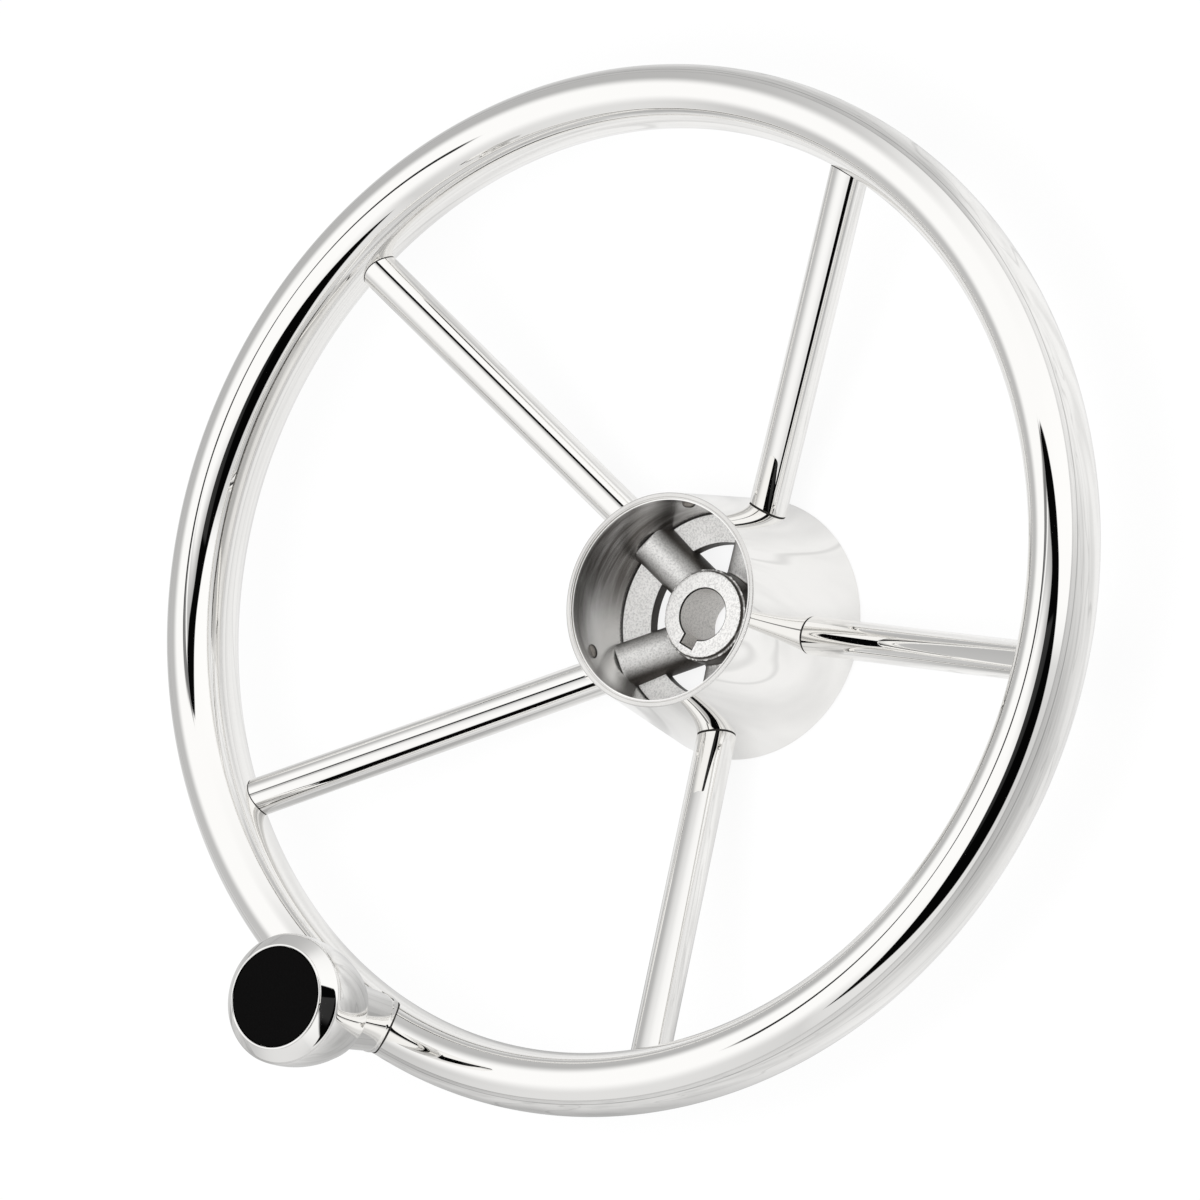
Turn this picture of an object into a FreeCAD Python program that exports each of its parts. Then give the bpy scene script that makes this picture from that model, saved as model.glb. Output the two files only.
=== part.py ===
import FreeCAD, Part
import math
import os
import Sketcher

# Stainless boat steering wheel: a hollow oval rim on five dished tube spokes, a cast hub cup with a
# tapered keyed bore, and a spinner knob on a post welded to the rim.
# The shaft axis is Z, with the driver on the +Z side. Z = 0 is the hub's back rim.
# The knob lies towards -X. Lengths are in millimetres and angles in degrees.

DIMENSIONS = [
    # rim tube, an ellipse in section, deeper along the shaft axis than across it
    ("rim_radius", 161.4),          # shaft axis to the middle of the tube
    ("rim_half_width", 10.1),
    ("rim_half_depth", 15.0),
    ("rim_wall", 1.5),
    ("rim_height", 80.0),           # middle of the tube above the hub's back
    # spokes
    ("spoke_count", 5),
    ("spoke_radius", 6.35),
    ("spoke_wall", 1.2),
    ("dish_angle", 25.0),           # each spoke's slope against the rim's plane
    ("joint_gap", 0.4),             # fine groove left round a tube's coped inner end
    ("spigot_length", 14.0),        # how far a cast spigot goes up inside its tube
    ("spigot_clearance", 0.05),
    ("spigot_chamfer", 0.5),
    # hub cup
    ("lip_radius", 35.3),
    ("lip_height", 55.2),
    ("lip_wall", 2.4),
    ("lip_crown", 1.1),
    ("back_radius", 43.8),
    ("back_wall", 3.2),
    ("back_chamfer", 0.6),
    ("web_wall_radius", 35.3),      # inner face of the cup where the web plate starts
    ("web_outer_height", 21.5),
    ("web_inner_radius", 25.7),
    ("web_inner_height", 18.2),
    ("web_thickness", 4.6),
    # boss and its tapered bore
    ("boss_radius", 15.4),
    ("boss_top", 28.6),
    ("boss_bottom", 4.3),
    ("boss_chamfer", 0.7),
    ("bore_large_radius", 9.525),   # large end of a three-quarter inch marine taper
    ("bore_taper", 12.0),           # length over which the diameter changes by one
    ("key_width", 4.8),
    ("key_reach", 11.6),            # shaft axis to the floor of the keyway
    ("bore_overrun", 2.0),          # how far the bore and keyway tools pass the boss's two faces
    # cast arms inside the cup, and the cap lugs behind its lip
    ("arm_radius", 8.0),
    ("arm_bury", 5.5),              # how far an arm goes in past the boss's side and the wall's face
    ("arm_cover", 1.0),             # metal left between an arm's trimmed end and the cup's outside
    ("lug_radius", 2.3),
    ("lug_height", 46.0),
    ("lug_count", 3),
    ("lug_turn", 24.0),             # direction of the first cap lug
    # knob post, turned bar coped over the rim
    ("post_rise", 22.0),            # rim's crown to the flat top that the knob turns on
    ("post_top_radius", 12.05),
    ("post_foot_radius", 9.5),
    ("post_foot_drop", 8.0),        # how far the coped foot reaches down past the rim's crown
    ("post_bead_width", 1.6),       # dressed weld bead round the foot, measured up from the rim
    ("post_bead_proud", 0.4),
    ("post_edge", 0.8),
    ("post_thread_radius", 4.0),
    ("post_thread_depth", 16.0),
    # knob shell
    ("knob_length", 29.1),
    ("knob_back_radius", 17.0),
    ("knob_back_round", 1.2),
    ("knob_belly_radius", 21.15),
    ("knob_belly_rise", 21.5),      # back face to the widest place
    ("knob_crease_radius", 21.05),  # sharp edge between the barrel and the bevel round the face
    ("knob_bevel_depth", 4.3),
    ("knob_lip_radius", 17.0),      # thin crowned lip that holds the cap
    ("knob_lip_step", 0.5),
    ("knob_lip_crown", 0.25),
    ("knob_hollow_radius", 15.2),
    ("knob_floor", 4.5),
    ("knob_boss_radius", 9.6),
    ("knob_boss_rise", 19.0),
    # knob cap
    ("cap_radius", 16.15),
    ("cap_thickness", 2.4),
    ("cap_skirt_depth", 4.0),
    ("cap_skirt_wall", 1.2),
    ("cap_edge", 0.3),
    ("cap_clearance", 0.05),
    # shoulder bolt with its bushes and washer
    ("bolt_radius", 5.0),
    ("bolt_head_radius", 8.0),
    ("bolt_head_height", 4.6),
    ("bolt_socket_flat", 5.0),
    ("bolt_socket_depth", 2.8),
    ("bush_wall", 1.9),
    ("bush_length", 8.0),
    ("bush_flange_radius", 9.4),
    ("bush_flange", 1.0),
    ("bush_clearance", 0.05),
    ("washer_radius", 8.8),
    ("washer_thickness", 1.0),
    ("end_float", 0.1),             # play along the bolt, between the washer and the front bush
    ("washer_clearance", 0.2),
]

doc = FreeCAD.newDocument("wheel")
dims = doc.addObject("Spreadsheet::Sheet", "dims")
for row, (alias, value) in enumerate(DIMENSIONS, start=1):
    dims.set(f"A{row}", alias)
    dims.set(f"B{row}", str(value))
    dims.setAlias(f"B{row}", alias)
doc.recompute()


def expand(text):
    """Write the sheet's name in front of every dimension in an expression."""
    for alias, _ in sorted(DIMENSIONS, key=lambda pair: -len(pair[0])):
        text = text.replace(f"@{alias}", f"dims.{alias}")
    return text


def value_of(text):
    """The number that an expression has now."""
    result = dims.evalExpression(expand(text).replace("dims.", ""))
    return float(getattr(result, "Value", result))


def bind(target, **expressions):
    """Tie an object's properties to expressions of the sheet."""
    for name, text in expressions.items():
        target.setExpression(name.replace("__", "."), expand(text))


def spoke_height(radius):
    """Height of a spoke's axis where it is this far from the shaft axis."""
    return f"(@rim_height - (@rim_radius - ({radius})) * tan(@dish_angle * 1 deg))"


def place(target, turn=0.0, radius="0", height="0", tilt="0"):
    """Put an object's origin at a radius and height in the direction of turn, its Z leant out by tilt."""
    turned = math.radians(turn)
    target.Placement.Rotation = FreeCAD.Rotation(FreeCAD.Vector(-math.sin(turned), math.cos(turned), 0), 1)
    bind(target, Placement__Base__x=f"({radius}) * cos({turn} deg)",
         Placement__Base__y=f"({radius}) * sin({turn} deg)",
         Placement__Base__z=height,
         Placement__Rotation__Angle=f"({tilt}) * 1 deg")
    return target


LEAN_TO_SPOKE = "90 - @dish_angle"


class Profile:
    """A closed sketch in a body's XZ plane: every corner is a radius and a height tied to the sheet."""

    def __init__(self, body, start):
        self.sketch = body.newObject("Sketcher::SketchObject", body.Name + "_profile")
        plane = [face for face in body.Origin.OriginFeatures if face.Role == "XZ_Plane"][0]
        self.sketch.AttachmentSupport = (plane, [""])
        self.sketch.MapMode = "FlatFace"
        self.start = self.here = start
        self.ends = []              # for each edge: its index and the vertices that begin and finish it

    def point(self, corner):
        return FreeCAD.Vector(value_of(corner[0]), value_of(corner[1]), 0)

    def tie(self, kind, axis, edge, vertex, text):
        """Hold one coordinate of a vertex, on an axis where it is zero."""
        if text == "0":
            self.sketch.addConstraint(Sketcher.Constraint("PointOnObject", edge, vertex, axis))
            return
        index = self.sketch.addConstraint(Sketcher.Constraint(kind, -1, 1, edge, vertex, value_of(text)))
        name = f"{kind}_{index}"
        self.sketch.renameConstraint(index, name)
        self.sketch.setExpression(f"Constraints.{name}", expand(text))

    def hold(self, edge, vertex, corner):
        self.tie("DistanceX", -2, edge, vertex, corner[0])
        self.tie("DistanceY", -1, edge, vertex, corner[1])

    def line(self, *corners):
        for corner in corners:
            edge = self.sketch.addGeometry(Part.LineSegment(self.point(self.here), self.point(corner)), False)
            self.ends.append((edge, 1, 2))
            self.here = corner
        return self

    def arc(self, corner, centre_height, clockwise=False):
        """An arc to a corner, about a centre at the given height."""
        first, last = self.point(self.here), self.point(corner)
        chord, middle = last - first, (first + last) * 0.5
        rise = value_of(centre_height) - middle.y
        centre = FreeCAD.Vector(middle.x - rise * chord.y / chord.x if abs(chord.x) > 1e-9 else middle.x,
                                middle.y + rise, 0)
        angles = [math.atan2(end.y - centre.y, end.x - centre.x) for end in (first, last)]
        if clockwise:
            angles.reverse()
        circle = Part.Circle(centre, FreeCAD.Vector(0, 0, 1), (first - centre).Length)
        edge = self.sketch.addGeometry(Part.ArcOfCircle(circle, *angles), False)
        self.ends.append((edge, 2, 1) if clockwise else (edge, 1, 2))
        self.tie("DistanceY", -1, edge, 3, centre_height)
        self.here = corner
        return self

    def close(self):
        """Join the last corner to the first, and each edge to the next."""
        if self.here != self.start:
            self.line(self.start)
        for (edge, _, last), (following, first, _) in zip(self.ends, self.ends[1:] + self.ends[:1]):
            self.sketch.addConstraint(Sketcher.Constraint("Coincident", edge, last, following, first))
        return self.sketch


def turned(name, start, *steps):
    """A body turned about its own Z axis from a profile of lines and arcs."""
    body = doc.addObject("PartDesign::Body", name)
    profile = Profile(body, start)
    corners = [start]
    for step in steps:
        if step[0] == "arc":
            profile.arc(*step[1:])
            corners.append(step[1])
        else:
            profile.line(step)
            corners.append(step)
    sketch = profile.close()
    for (edge, first, _), corner in zip(profile.ends, corners):
        profile.hold(edge, first, corner)
    revolution = body.newObject("PartDesign::Revolution", name + "_turning")
    revolution.Profile = sketch
    revolution.ReferenceAxis = (sketch, ["V_Axis"])
    revolution.Angle = 360
    sketch.Visibility = False
    return body


def cylinder(name, radius, height):
    solid = doc.addObject("Part::Cylinder", name)
    bind(solid, Radius=radius, Height=height)
    return solid


def fuse(name, shapes):
    joined = doc.addObject("Part::MultiFuse", name)
    joined.Shapes = shapes
    return joined


def cut(name, base, tool):
    difference = doc.addObject("Part::Cut", name)
    difference.Base = base
    difference.Tool = tool
    return difference


def ring_of_oval(name, inset):
    """The rim's section, less an inset all round, swept once about the shaft axis."""
    oval = doc.addObject("Part::Ellipse", name + "_oval")
    bind(oval, MajorRadius=f"@rim_half_depth - {inset}", MinorRadius=f"@rim_half_width - {inset}",
         Placement__Base__x="@rim_radius", Placement__Base__z="@rim_height")
    # the oval's long axis turned from X to Z, and its normal to the direction of travel
    oval.Placement.Rotation = FreeCAD.Rotation(FreeCAD.Vector(0, 0, 1), FreeCAD.Vector(-1, 0, 0),
                                               FreeCAD.Vector(0, -1, 0), "XYZ")
    ring = doc.addObject("Part::Revolution", name)
    ring.Source = oval
    ring.Axis = (0, 0, 1)
    ring.Base = (0, 0, 0)
    ring.Angle = 360
    ring.Solid = True
    return ring


# rim: a closed tube, formed and welded into a ring
rim_outside = ring_of_oval("rim_outside", "0")
rim_inside = ring_of_oval("rim_inside", "@rim_wall")
rim = cut("rim", rim_outside, rim_inside)

spoke_count = int(value_of("@spoke_count"))
spoke_turns = [360.0 * index / spoke_count for index in range(spoke_count)]
spoke_bore = "(@spoke_radius - @spoke_wall)"

# what the tubes are coped over at the hub: the cup's outer cone, grown by the groove
cup_room = doc.addObject("Part::Cone", "cup_room")
bind(cup_room, Radius1="@back_radius + @joint_gap", Radius2="@lip_radius + @joint_gap", Height="@lip_height")


def build_spoke(index, turn):
    """A straight tube, coped over the cup's cone at one end and over the rim at the other."""
    length = "(@rim_radius - @web_wall_radius) / cos(@dish_angle * 1 deg)"
    tube = turned(f"tube_{index}", (spoke_bore, "0"),
                  ("@spoke_radius", "0"),
                  ("@spoke_radius", length),
                  (spoke_bore, length))
    place(tube, turn, "@web_wall_radius", spoke_height("@web_wall_radius"), LEAN_TO_SPOKE)
    return cut(f"spoke_{index}", cut(f"coped_tube_{index}", tube, cup_room), rim_outside)


spokes = [build_spoke(index, turn) for index, turn in enumerate(spoke_turns, start=1)]


def wall_radius(height):
    """Radius of the cup's outer cone at a height."""
    return f"(@back_radius + (@lip_radius - @back_radius) * ({height}) / @lip_height)"


def build_cup():
    """The cup's wall with its rounded lip, and the flat web plate that reaches in from it."""
    lip_inner = "@lip_radius - @lip_wall"
    web_under = "@web_inner_height - @web_thickness"
    web_root = "@web_outer_height - @web_thickness"
    return turned("cup", ("@back_radius - @back_wall", "0"),
                  ("@back_radius - @back_chamfer", "0"),
                  (wall_radius("@back_chamfer"), "@back_chamfer"),
                  ("@lip_radius", "@lip_height"),
                  ("arc", (lip_inner, "@lip_height"), "@lip_height - (@lip_wall / 2) ^ 2 / @lip_crown / 2"
                   " + @lip_crown / 2", False),
                  ("@web_wall_radius", "@web_outer_height"),
                  ("@web_inner_radius", "@web_inner_height"),
                  ("@web_inner_radius", web_under),
                  ("@web_wall_radius", web_root))


def build_boss():
    """The boss that carries the taper, still solid."""
    return turned("boss", ("0", "@boss_bottom"),
                  ("@boss_radius - @boss_chamfer", "@boss_bottom"),
                  ("@boss_radius", "@boss_bottom + @boss_chamfer"),
                  ("@boss_radius", "@boss_top - @boss_chamfer"),
                  ("@boss_radius - @boss_chamfer", "@boss_top"),
                  ("0", "@boss_top"))


def build_arm(index, turn):
    """A round cast arm from the boss to the cup's wall, in line with its spoke."""
    inner = "(@boss_radius - @arm_bury)"
    outer = "(@web_wall_radius + @arm_bury)"
    arm = cylinder(f"arm_{index}", "@arm_radius", f"({outer} - {inner}) / cos(@dish_angle * 1 deg)")
    return place(arm, turn, inner, spoke_height(inner), LEAN_TO_SPOKE)


def build_spigot(index, turn):
    """The spigot that carries a spoke: it starts in the arm's end and goes up inside the tube."""
    side = f"({spoke_bore} - @spigot_clearance)"
    # the spoke's axis leaves the cup's cone at this radius
    slope = "((@back_radius - @lip_radius) / @lip_height)"
    root = (f"((@back_radius - {slope} * {spoke_height('0')})"
            f" / (1 + {slope} * tan(@dish_angle * 1 deg)))")
    length = f"(({root} - @web_wall_radius) / cos(@dish_angle * 1 deg) + @spigot_length)"
    spigot = turned(f"spigot_{index}", ("0", "0"),
                    (side, "0"),
                    (side, f"{length} - @spigot_chamfer"),
                    (f"{side} - @spigot_chamfer", length),
                    ("0", length))
    return place(spigot, turn, "@web_wall_radius", spoke_height("@web_wall_radius"), LEAN_TO_SPOKE)


def build_lug(index, turn):
    """A small lug behind the lip for a snap-in centre cap."""
    lug = doc.addObject("Part::Sphere", f"lug_{index}")
    bind(lug, Radius="@lug_radius")
    inner_wall = ("(@web_wall_radius + (@lip_radius - @lip_wall - @web_wall_radius)"
                  " * (@lug_height - @web_outer_height) / (@lip_height - @web_outer_height))")
    return place(lug, turn, inner_wall, "@lug_height")


def build_hub():
    """One casting: cup, web plate, boss, arms, spigots and lugs, bored and keyed."""
    # the arms end inside the cup's wall, and no lower than the boss
    arm_space = turned("arm_space", ("0", "@boss_bottom"),
                       (wall_radius("@boss_bottom") + " - @arm_cover", "@boss_bottom"),
                       (wall_radius("@lug_height") + " - @arm_cover", "@lug_height"),
                       ("0", "@lug_height"))
    arms = doc.addObject("Part::Common", "arms")
    arms.Base = fuse("arm_bars", [build_arm(index, turn) for index, turn in enumerate(spoke_turns, start=1)])
    arms.Tool = arm_space
    spigots = [build_spigot(index, turn) for index, turn in enumerate(spoke_turns, start=1)]
    lug_count = int(value_of("@lug_count"))
    lug_turn = value_of("@lug_turn")
    lugs = [build_lug(index + 1, lug_turn + 360.0 * index / lug_count) for index in range(lug_count)]
    casting = fuse("casting", [build_cup(), build_boss(), arms] + spigots + lugs)

    bore = doc.addObject("Part::Cone", "taper_bore")
    length = "(@boss_top - @boss_bottom)"
    tool_length = f"{length} + 2 * @bore_overrun"
    tool_start = "@boss_bottom - @bore_overrun"
    bind(bore, Radius1="@bore_large_radius + @bore_overrun / @bore_taper / 2",
         Radius2=f"@bore_large_radius - ({length} + @bore_overrun) / @bore_taper / 2",
         Height=tool_length, Placement__Base__z=tool_start)
    keyway = doc.addObject("Part::Box", "keyway")
    bind(keyway, Length="@key_reach", Width="@key_width", Height=tool_length,
         Placement__Base__x="-@key_reach", Placement__Base__y="-@key_width / 2",
         Placement__Base__z=tool_start)
    return cut("hub", casting, fuse("bore_and_key", [bore, keyway]))


hub = build_hub()

# knob: everything turns about a line through the middle of the rim tube, opposite the first spoke
post_top = "(@rim_height + @rim_half_depth + @post_rise)"
knob_back = f"({post_top} + @bush_flange)"
knob_face = f"({knob_back} + @knob_length)"
bush_radius = "(@bolt_radius + @bush_clearance + @bush_wall)"
boss_end = f"({knob_back} + @knob_boss_rise)"
head_seat = f"({boss_end} + @bush_flange + @end_float + @washer_thickness)"
cap_seat = f"({knob_face} - @cap_thickness)"


def at_knob(body):
    bind(body, Placement__Base__x="-@rim_radius")
    return body


def build_post():
    """A tapered post, tapped for the bolt, coped over the rim and welded to it with a bead round its foot."""
    foot = "(@rim_height + @rim_half_depth - @post_foot_drop)"
    thread_end = f"({post_top} - @post_thread_depth)"
    blank = at_knob(turned("post_blank", ("0", foot),
                           ("@post_foot_radius", foot),
                           ("@post_top_radius", f"{post_top} - @post_edge"),
                           ("@post_top_radius - @post_edge", post_top),
                           ("@post_thread_radius", post_top),
                           ("@post_thread_radius", thread_end),
                           ("0", f"{thread_end} - @post_thread_radius / 2")))
    bead_cone = doc.addObject("Part::Cone", "bead_cone")
    at_knob(bead_cone)
    bind(bead_cone, Radius1="@post_foot_radius + @post_bead_proud",
         Radius2="@post_top_radius + @post_bead_proud",
         Height=f"{post_top} - {foot}", Placement__Base__z=foot)
    bead = doc.addObject("Part::Common", "post_bead")
    bead.Base = bead_cone
    bead.Tool = ring_of_oval("bead_room", "-@post_bead_width")
    return cut("knob_post", fuse("post_and_bead", [blank, bead]), rim_outside)


def build_bolt():
    """A shoulder bolt: threaded end, ground shoulder and a round head with a hexagon socket."""
    thread = "(@post_thread_radius)"
    tip = f"({post_top} - @post_thread_depth + @post_edge)"
    blank = at_knob(turned("bolt_blank", ("0", tip),
                           (f"{thread} - @post_edge", tip),
                           (thread, f"{tip} + @post_edge"),
                           (thread, post_top),
                           ("@bolt_radius", post_top),
                           ("@bolt_radius", head_seat),
                           ("@bolt_head_radius", head_seat),
                           ("@bolt_head_radius", f"{head_seat} + @bolt_head_height - @post_edge"),
                           ("@bolt_head_radius - @post_edge", f"{head_seat} + @bolt_head_height"),
                           ("0", f"{head_seat} + @bolt_head_height")))
    socket = doc.addObject("Part::Prism", "bolt_socket")
    socket.Polygon = 6
    bind(socket, Circumradius="@bolt_socket_flat / 2 / cos(30 deg)", Height="@bolt_socket_depth + 1",
         Placement__Base__x="-@rim_radius",
         Placement__Base__z=f"{head_seat} + @bolt_head_height - @bolt_socket_depth")
    return cut("knob_bolt", blank, socket)


def build_shell():
    """The polished barrel-shaped shell, bevelled round its face, with an inner boss for the bushes."""
    belly = f"{knob_back} + @knob_belly_rise"
    back_round = f"{knob_back} + @knob_back_round"
    rebate = "(@cap_radius + @cap_clearance)"
    return at_knob(turned("knob_shell", (bush_radius, knob_back),
                          ("@knob_back_radius - @knob_back_round", knob_back),
                          ("arc", ("@knob_back_radius", back_round), back_round, False),
                          ("arc", ("@knob_belly_radius", belly), belly, False),
                          ("arc", ("@knob_crease_radius", f"{knob_face} - @knob_bevel_depth"), belly, False),
                          ("@knob_lip_radius", f"{knob_face} - @knob_lip_step"),
                          ("@knob_lip_radius", knob_face),
                          ("arc", (rebate, knob_face), f"{knob_face}"
                           f" - ((@knob_lip_radius - {rebate}) / 2) ^ 2 / @knob_lip_crown / 2"
                           " + @knob_lip_crown / 2", False),
                          (rebate, cap_seat),
                          ("@knob_hollow_radius", cap_seat),
                          ("@knob_hollow_radius", f"{knob_back} + @knob_floor"),
                          ("@knob_boss_radius", f"{knob_back} + @knob_floor"),
                          ("@knob_boss_radius", boss_end),
                          (bush_radius, boss_end)))


def build_cap():
    """The moulded black cap, with a skirt that snaps into the shell."""
    skirt = "(@knob_hollow_radius - @cap_clearance)"
    return at_knob(turned("knob_cap", ("0", cap_seat),
                          (f"{skirt} - @cap_skirt_wall", cap_seat),
                          (f"{skirt} - @cap_skirt_wall", f"{cap_seat} - @cap_skirt_depth"),
                          (skirt, f"{cap_seat} - @cap_skirt_depth"),
                          (skirt, cap_seat),
                          ("@cap_radius", cap_seat),
                          ("@cap_radius", f"{knob_face} - @cap_edge"),
                          ("@cap_radius - @cap_edge", knob_face),
                          ("0", knob_face)))


def build_bush(name, seat, outward):
    """A flanged bush: its flange lies outside the seat and its sleeve goes in from there."""
    bore = "(@bolt_radius + @bush_clearance)"
    return at_knob(turned(name, (bore, f"{seat} + ({outward}) * @bush_flange"),
                          ("@bush_flange_radius", f"{seat} + ({outward}) * @bush_flange"),
                          ("@bush_flange_radius", seat),
                          (bush_radius, seat),
                          (bush_radius, f"{seat} - ({outward}) * @bush_length"),
                          (bore, f"{seat} - ({outward}) * @bush_length")))


def build_washer():
    bore = "(@bolt_radius + @washer_clearance)"
    under = f"({head_seat} - @washer_thickness)"
    return at_knob(turned("head_washer", (bore, under), ("@washer_radius", under),
                          ("@washer_radius", head_seat), (bore, head_seat)))


nodes = [rim] + spokes + [hub, build_post(), build_bolt(), build_shell(), build_cap(),
                          build_bush("rear_bush", knob_back, -1),
                          build_bush("front_bush", boss_end, 1),
                          build_washer()]
for node in nodes:
    node.Label = node.Name

doc.recompute()

faults = [item.Name for item in doc.Objects if "Invalid" in item.State or "Error" in item.State]
if faults:
    raise RuntimeError("failed objects: " + ", ".join(faults))
for node in nodes:
    if node.Shape.isNull() or not node.Shape.isValid() or not node.Shape.Solids:
        raise RuntimeError(f"{node.Label} has no valid solid")

os.makedirs("parts", exist_ok=True)
for node in nodes:
    node.Shape.exportStep(f"parts/{node.Label}.step")
    box = node.Shape.BoundBox
    print(f"{node.Label}: {len(node.Shape.Solids)} solid, {node.Shape.Volume:.0f} mm3,"
          f" z {box.ZMin:.1f} to {box.ZMax:.1f}")
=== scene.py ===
import bmesh
import bpy
import math
from mathutils import Matrix, Vector


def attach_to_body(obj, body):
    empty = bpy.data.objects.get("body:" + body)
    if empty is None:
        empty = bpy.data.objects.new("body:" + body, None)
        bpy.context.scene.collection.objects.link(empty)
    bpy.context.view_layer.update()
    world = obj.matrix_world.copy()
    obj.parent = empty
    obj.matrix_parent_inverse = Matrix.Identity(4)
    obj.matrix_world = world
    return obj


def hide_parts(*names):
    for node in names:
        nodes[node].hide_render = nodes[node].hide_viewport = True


# Stainless boat steering wheel: mirror-polished rim, spokes and hub, sand-textured casting inside the cup,
# and a spinner knob with a black cap. Sizes are those of the solid model, in metres.
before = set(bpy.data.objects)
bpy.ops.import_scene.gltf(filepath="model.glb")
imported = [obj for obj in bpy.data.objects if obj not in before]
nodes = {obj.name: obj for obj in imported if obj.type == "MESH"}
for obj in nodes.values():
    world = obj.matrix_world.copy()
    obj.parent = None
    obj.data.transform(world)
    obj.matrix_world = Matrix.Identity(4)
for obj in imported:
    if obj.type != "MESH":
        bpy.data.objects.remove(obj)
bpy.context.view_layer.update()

MM = 0.001

# rim and spokes
RIM_RADIUS = 161.4 * MM
RIM_HALF_WIDTH = 10.1 * MM
RIM_HALF_DEPTH = 15.0 * MM
RIM_HEIGHT = 80.0 * MM
SPOKE_COUNT = 5
SPOKE_RADIUS = 6.35 * MM
SPOKE_WALL = 1.2 * MM
DISH = math.radians(25)             # how steeply the spokes climb from the hub to the rim
CUP_JOINT_GAP = 0.4 * MM
RIM_JOINT_GAP = 0.25 * MM
JOINT_LINE_DEPTH = 0.12 * MM        # how far a dark joint line lies below the tube's skin
JOINT_LINE_SINK = 0.3 * MM          # how far it goes on into the piece that the tube meets

# hub: cup, web plate, boss, arms and cap lugs
LIP_RADIUS = 35.3 * MM
LIP_HEIGHT = 55.2 * MM
LIP_WALL = 2.4 * MM
LIP_CROWN = 1.1 * MM
LIP_GROOVE = 0.16 * MM
LIP_ROUND, LIP_INNER_ROUND = 0.55 * MM, 0.45 * MM
BACK_RADIUS = 43.8 * MM
BACK_WALL = 3.2 * MM
BACK_ROUND, BACK_INNER_ROUND = 0.9 * MM, 0.3 * MM
WEB_WALL_RADIUS = 35.3 * MM
WEB_OUTER_HEIGHT = 21.5 * MM
WEB_INNER_RADIUS = 25.7 * MM
WEB_INNER_HEIGHT = 18.2 * MM
WEB_THICKNESS = 4.6 * MM
WEB_HOLE_ROUND, WEB_EDGE_ROUND = 0.35 * MM, 0.2 * MM
WEB_SUNK = 1.2 * MM                 # how far the plate goes into the cup's wall
WEB_GROOVE_WIDTH = 0.35 * MM
WEB_GROOVE_DEPTH = 0.6 * MM
BOSS_RADIUS = 15.4 * MM
BOSS_TOP = 28.6 * MM
BOSS_BOTTOM = 4.3 * MM
BOSS_BACK_ROUND, BOSS_FACE_ROUND = 0.7 * MM, 0.9 * MM
BORE_RADIUS = 9.525 * MM
BORE_TAPER = 1 / 24                 # radius lost for each length up the bore
KEY_WIDTH = 4.8 * MM
KEY_REACH = 11.6 * MM
MOUTH_STEP = 0.45 * MM
CUT_OVERRUN = 3.0 * MM
ARM_RADIUS = 8.0 * MM
ARM_BURY = 5.5 * MM                 # how far an arm goes into the boss
ARM_SUNK = 2.0 * MM                 # and into the cup's wall
CASTING_GRID = 0.42 * MM            # the boss and arms are blended on cells of this size
CASTING_SOFTENING = 7               # and smoothed this often
LUG_HALF_LENGTH = 2.5 * MM
LUG_HALF_HEIGHT = 1.1 * MM
LUG_PROUD = 1.5 * MM
LUG_FLAT = 0.92                     # how far out the flat lies, as a share of the lug's round
LUG_HEIGHT = 46.0 * MM
LUG_TURN = math.radians(24)
LUG_COUNT = 3

# knob and its post
KNOB_CENTRE = Vector((-RIM_RADIUS, 0, 0))
KNOB_BACK = 118.0 * MM
KNOB_FACE = 147.1 * MM
KNOB_BACK_RADIUS = 17.0 * MM
KNOB_BACK_ROUND = 1.2 * MM
KNOB_BELLY_RADIUS = 21.15 * MM
KNOB_BELLY_HEIGHT = 139.5 * MM
KNOB_CREASE_RADIUS = 21.05 * MM
KNOB_BEVEL_DEPTH = 4.3 * MM
KNOB_BEVEL_BULGE = 0.06 * MM
KNOB_LIP_RADIUS = 17.0 * MM
KNOB_LIP_STEP = 0.5 * MM
KNOB_LIP_CROWN = 0.25 * MM
KNOB_HOLLOW_RADIUS = 15.2 * MM
KNOB_FLOOR = 4.5 * MM
KNOB_BOSS_RADIUS = 9.6 * MM
KNOB_BOSS_END = 137.0 * MM
BUSH_RADIUS = 6.95 * MM
CAP_RADIUS = 16.15 * MM
CAP_SEAT = 144.7 * MM
CAP_SKIRT = 4.0 * MM
CAP_SKIRT_WALL = 1.2 * MM
CAP_CLEARANCE = 0.05 * MM
CAP_ROUND = 0.35 * MM
POST_TOP = 117.0 * MM
POST_TOP_RADIUS = 12.05 * MM
POST_FOOT_RADIUS = 9.5 * MM
POST_FOOT_DROP = 8.0 * MM
POST_EDGE = 0.8 * MM
POST_BEAD_WIDTH = 1.6 * MM
POST_BEAD_PROUD = 0.4 * MM
POST_LINE_WIDTH = 0.3 * MM
POST_LINE_PROUD = 0.2 * MM          # past the bead, so that it shows in the corner between bead and rim
THREAD_RADIUS = 4.0 * MM
THREAD_DEPTH = 16.0 * MM

# an edge sharper than this stays crisp under smooth shading
CRISP_EDGE = math.radians(28)
CRISP_CAST_EDGE = math.radians(35)

bpy.context.scene.view_settings.view_transform = "Standard"


def colour(code):
    """Linear colour from an sRGB hex value."""
    def linear(channel):
        return channel / 12.92 if channel <= 0.04045 else ((channel + 0.055) / 1.055) ** 2.4
    return tuple(linear(int(code[i:i + 2], 16) / 255) for i in (1, 3, 5)) + (1.0,)


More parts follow.
